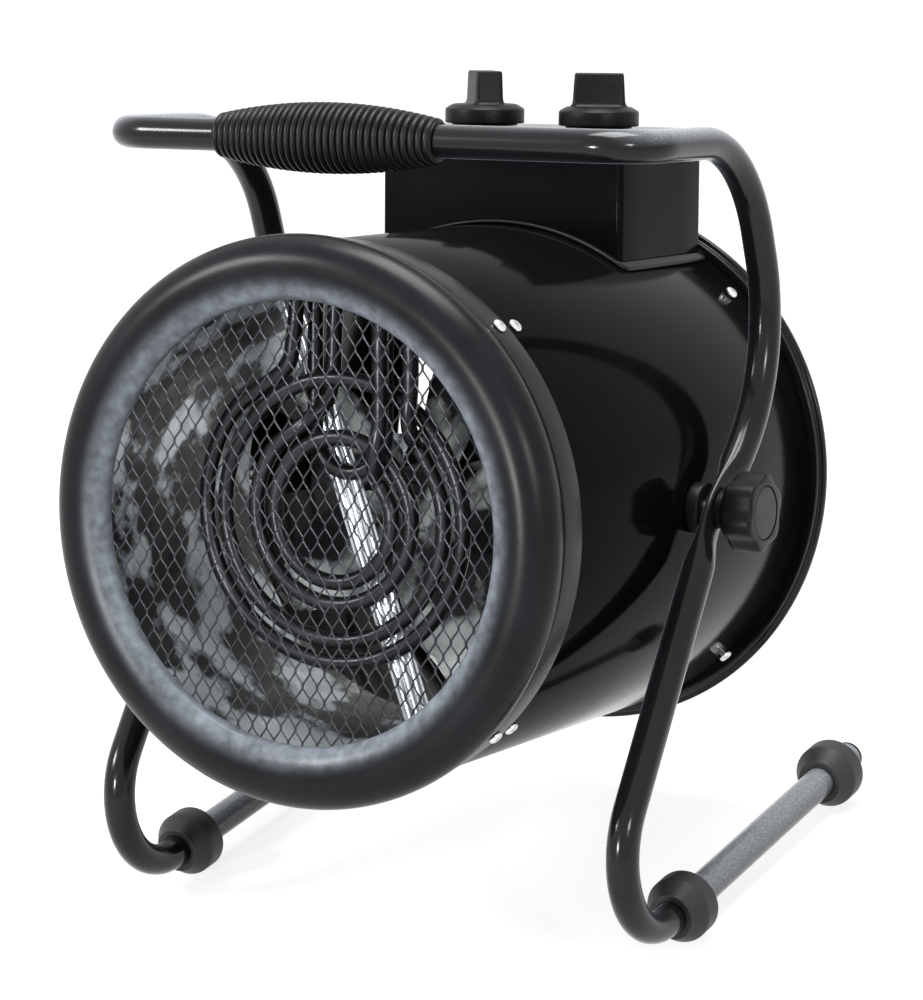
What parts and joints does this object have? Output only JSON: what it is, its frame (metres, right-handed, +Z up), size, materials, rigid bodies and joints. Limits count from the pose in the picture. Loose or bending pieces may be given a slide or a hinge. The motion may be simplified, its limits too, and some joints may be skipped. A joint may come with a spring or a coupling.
{
  "type": "forced air heater",
  "caption": "Round electric fan heater with a mesh guard, spiral elements and a control box, tilting in a bent tube stand with a ribbed carrying handle.",
  "frame": {"origin": "middle of the floor under the whole object", "axes": "+Z up, warm air leaves towards -Y, +X towards the side frame on the heater's right when the outlet is looked at from behind"},
  "size_m": [0.348, 0.372, 0.4209],
  "materials": {
    "stand_tube": "gloss black powder coat",
    "drum_paint": "gloss black paint",
    "box_paint": "gloss black paint",
    "rim_steel": "satin dark grey",
    "guard_mesh": "satin black",
    "grip_rubber": "matt ribbed",
    "foot_rubber": "matt",
    "black_plastic": "satin",
    "cap_plastic": "satin dark grey",
    "galvanised": "galvanised",
    "element_sheath": "dark satin sheath",
    "zinc": "bright zinc plate",
    "shaft_steel": "turned"
  },
  "bodies": {
    "stand": {"stand_tube": "stand_tube", "handle_grip": "grip_rubber", "foot_front_right": "foot_rubber", "foot_rear_right": "foot_rubber", "foot_front_left": "foot_rubber", "foot_rear_left": "foot_rubber", "tube_plug_right": "black_plastic", "tube_plug_left": "black_plastic"},
    "heater": {"drum_shell": "drum_paint", "front_ring": "rim_steel", "front_guard": "guard_mesh", "rear_ring": "rim_steel", "rear_guard": "guard_mesh", "inner_liner": "galvanised", "heating_element_outer": "element_sheath", "heating_element_middle": "element_sheath", "heating_element_inner": "element_sheath", "element_strip": "galvanised", "thermal_cutout": "zinc", "motor_body": "black_plastic", "motor_bracket": "galvanised", "control_box": "box_paint", "box_saddle": "rim_steel", "selector_body": "black_plastic", "thermostat_body": "black_plastic", "cable_gland": "black_plastic", "pivot_spacer_right": "black_plastic", "pivot_nut_right": "zinc", "pivot_spacer_left": "black_plastic", "pivot_nut_left": "zinc", "screw_front_collar_top_right": "zinc", "screw_front_collar_top_left": "zinc", "screw_front_collar_bottom_left": "zinc", "screw_front_collar_bottom_right": "zinc", "screw_front_drum_top_right": "zinc", "screw_front_drum_top_left": "zinc", "screw_front_drum_bottom_left": "zinc", "screw_front_drum_bottom_right": "zinc", "screw_rear_top_right": "zinc", "screw_rear_top_left": "zinc", "screw_rear_bottom_left": "zinc", "screw_rear_bottom_right": "zinc"},
    "fan": {"fan_blade": "galvanised", "motor_shaft": "shaft_steel"},
    "selector": {"selector_knob": "black_plastic", "selector_spindle": "shaft_steel"},
    "thermostat": {"thermostat_knob": "black_plastic", "thermostat_spindle": "shaft_steel"},
    "clamp_right": {"clamp_knob_right": "black_plastic", "clamp_cap_right": "cap_plastic", "clamp_stud_right": "zinc"},
    "clamp_left": {"clamp_knob_left": "black_plastic", "clamp_cap_left": "cap_plastic", "clamp_stud_left": "zinc"}
  },
  "joints": [
    {"name": "drum_tilt", "type": "hinge", "parent": "stand", "child": "heater", "pos_m": [0, 0.00487, 0.204], "axis": [1, 0, 0], "range_deg": [-12, 36]},
    {"name": "fan_spin", "type": "hinge", "parent": "heater", "child": "fan", "pos_m": [0, 0.00487, 0.204], "axis": [0, 0.9799, -0.1994], "continuous": true},
    {"name": "selector_turn", "type": "hinge", "parent": "heater", "child": "selector", "pos_m": [-0.03526, 0.12824, 0.36645], "axis": [0, 0.1994, 0.9799], "range_deg": [0, 135]},
    {"name": "thermostat_turn", "type": "hinge", "parent": "heater", "child": "thermostat", "pos_m": [0.03313, 0.12824, 0.36645], "axis": [0, 0.1994, 0.9799], "range_deg": [-135, 135]},
    {"name": "clamp_right_turn", "type": "hinge", "parent": "heater", "child": "clamp_right", "pos_m": [0.15, 0.00487, 0.204], "axis": [1, 0, 0], "range_deg": [0, 360]},
    {"name": "clamp_left_turn", "type": "hinge", "parent": "heater", "child": "clamp_left", "pos_m": [-0.15, 0.00487, 0.204], "axis": [-1, 0, 0], "range_deg": [0, 360]}
  ]
}
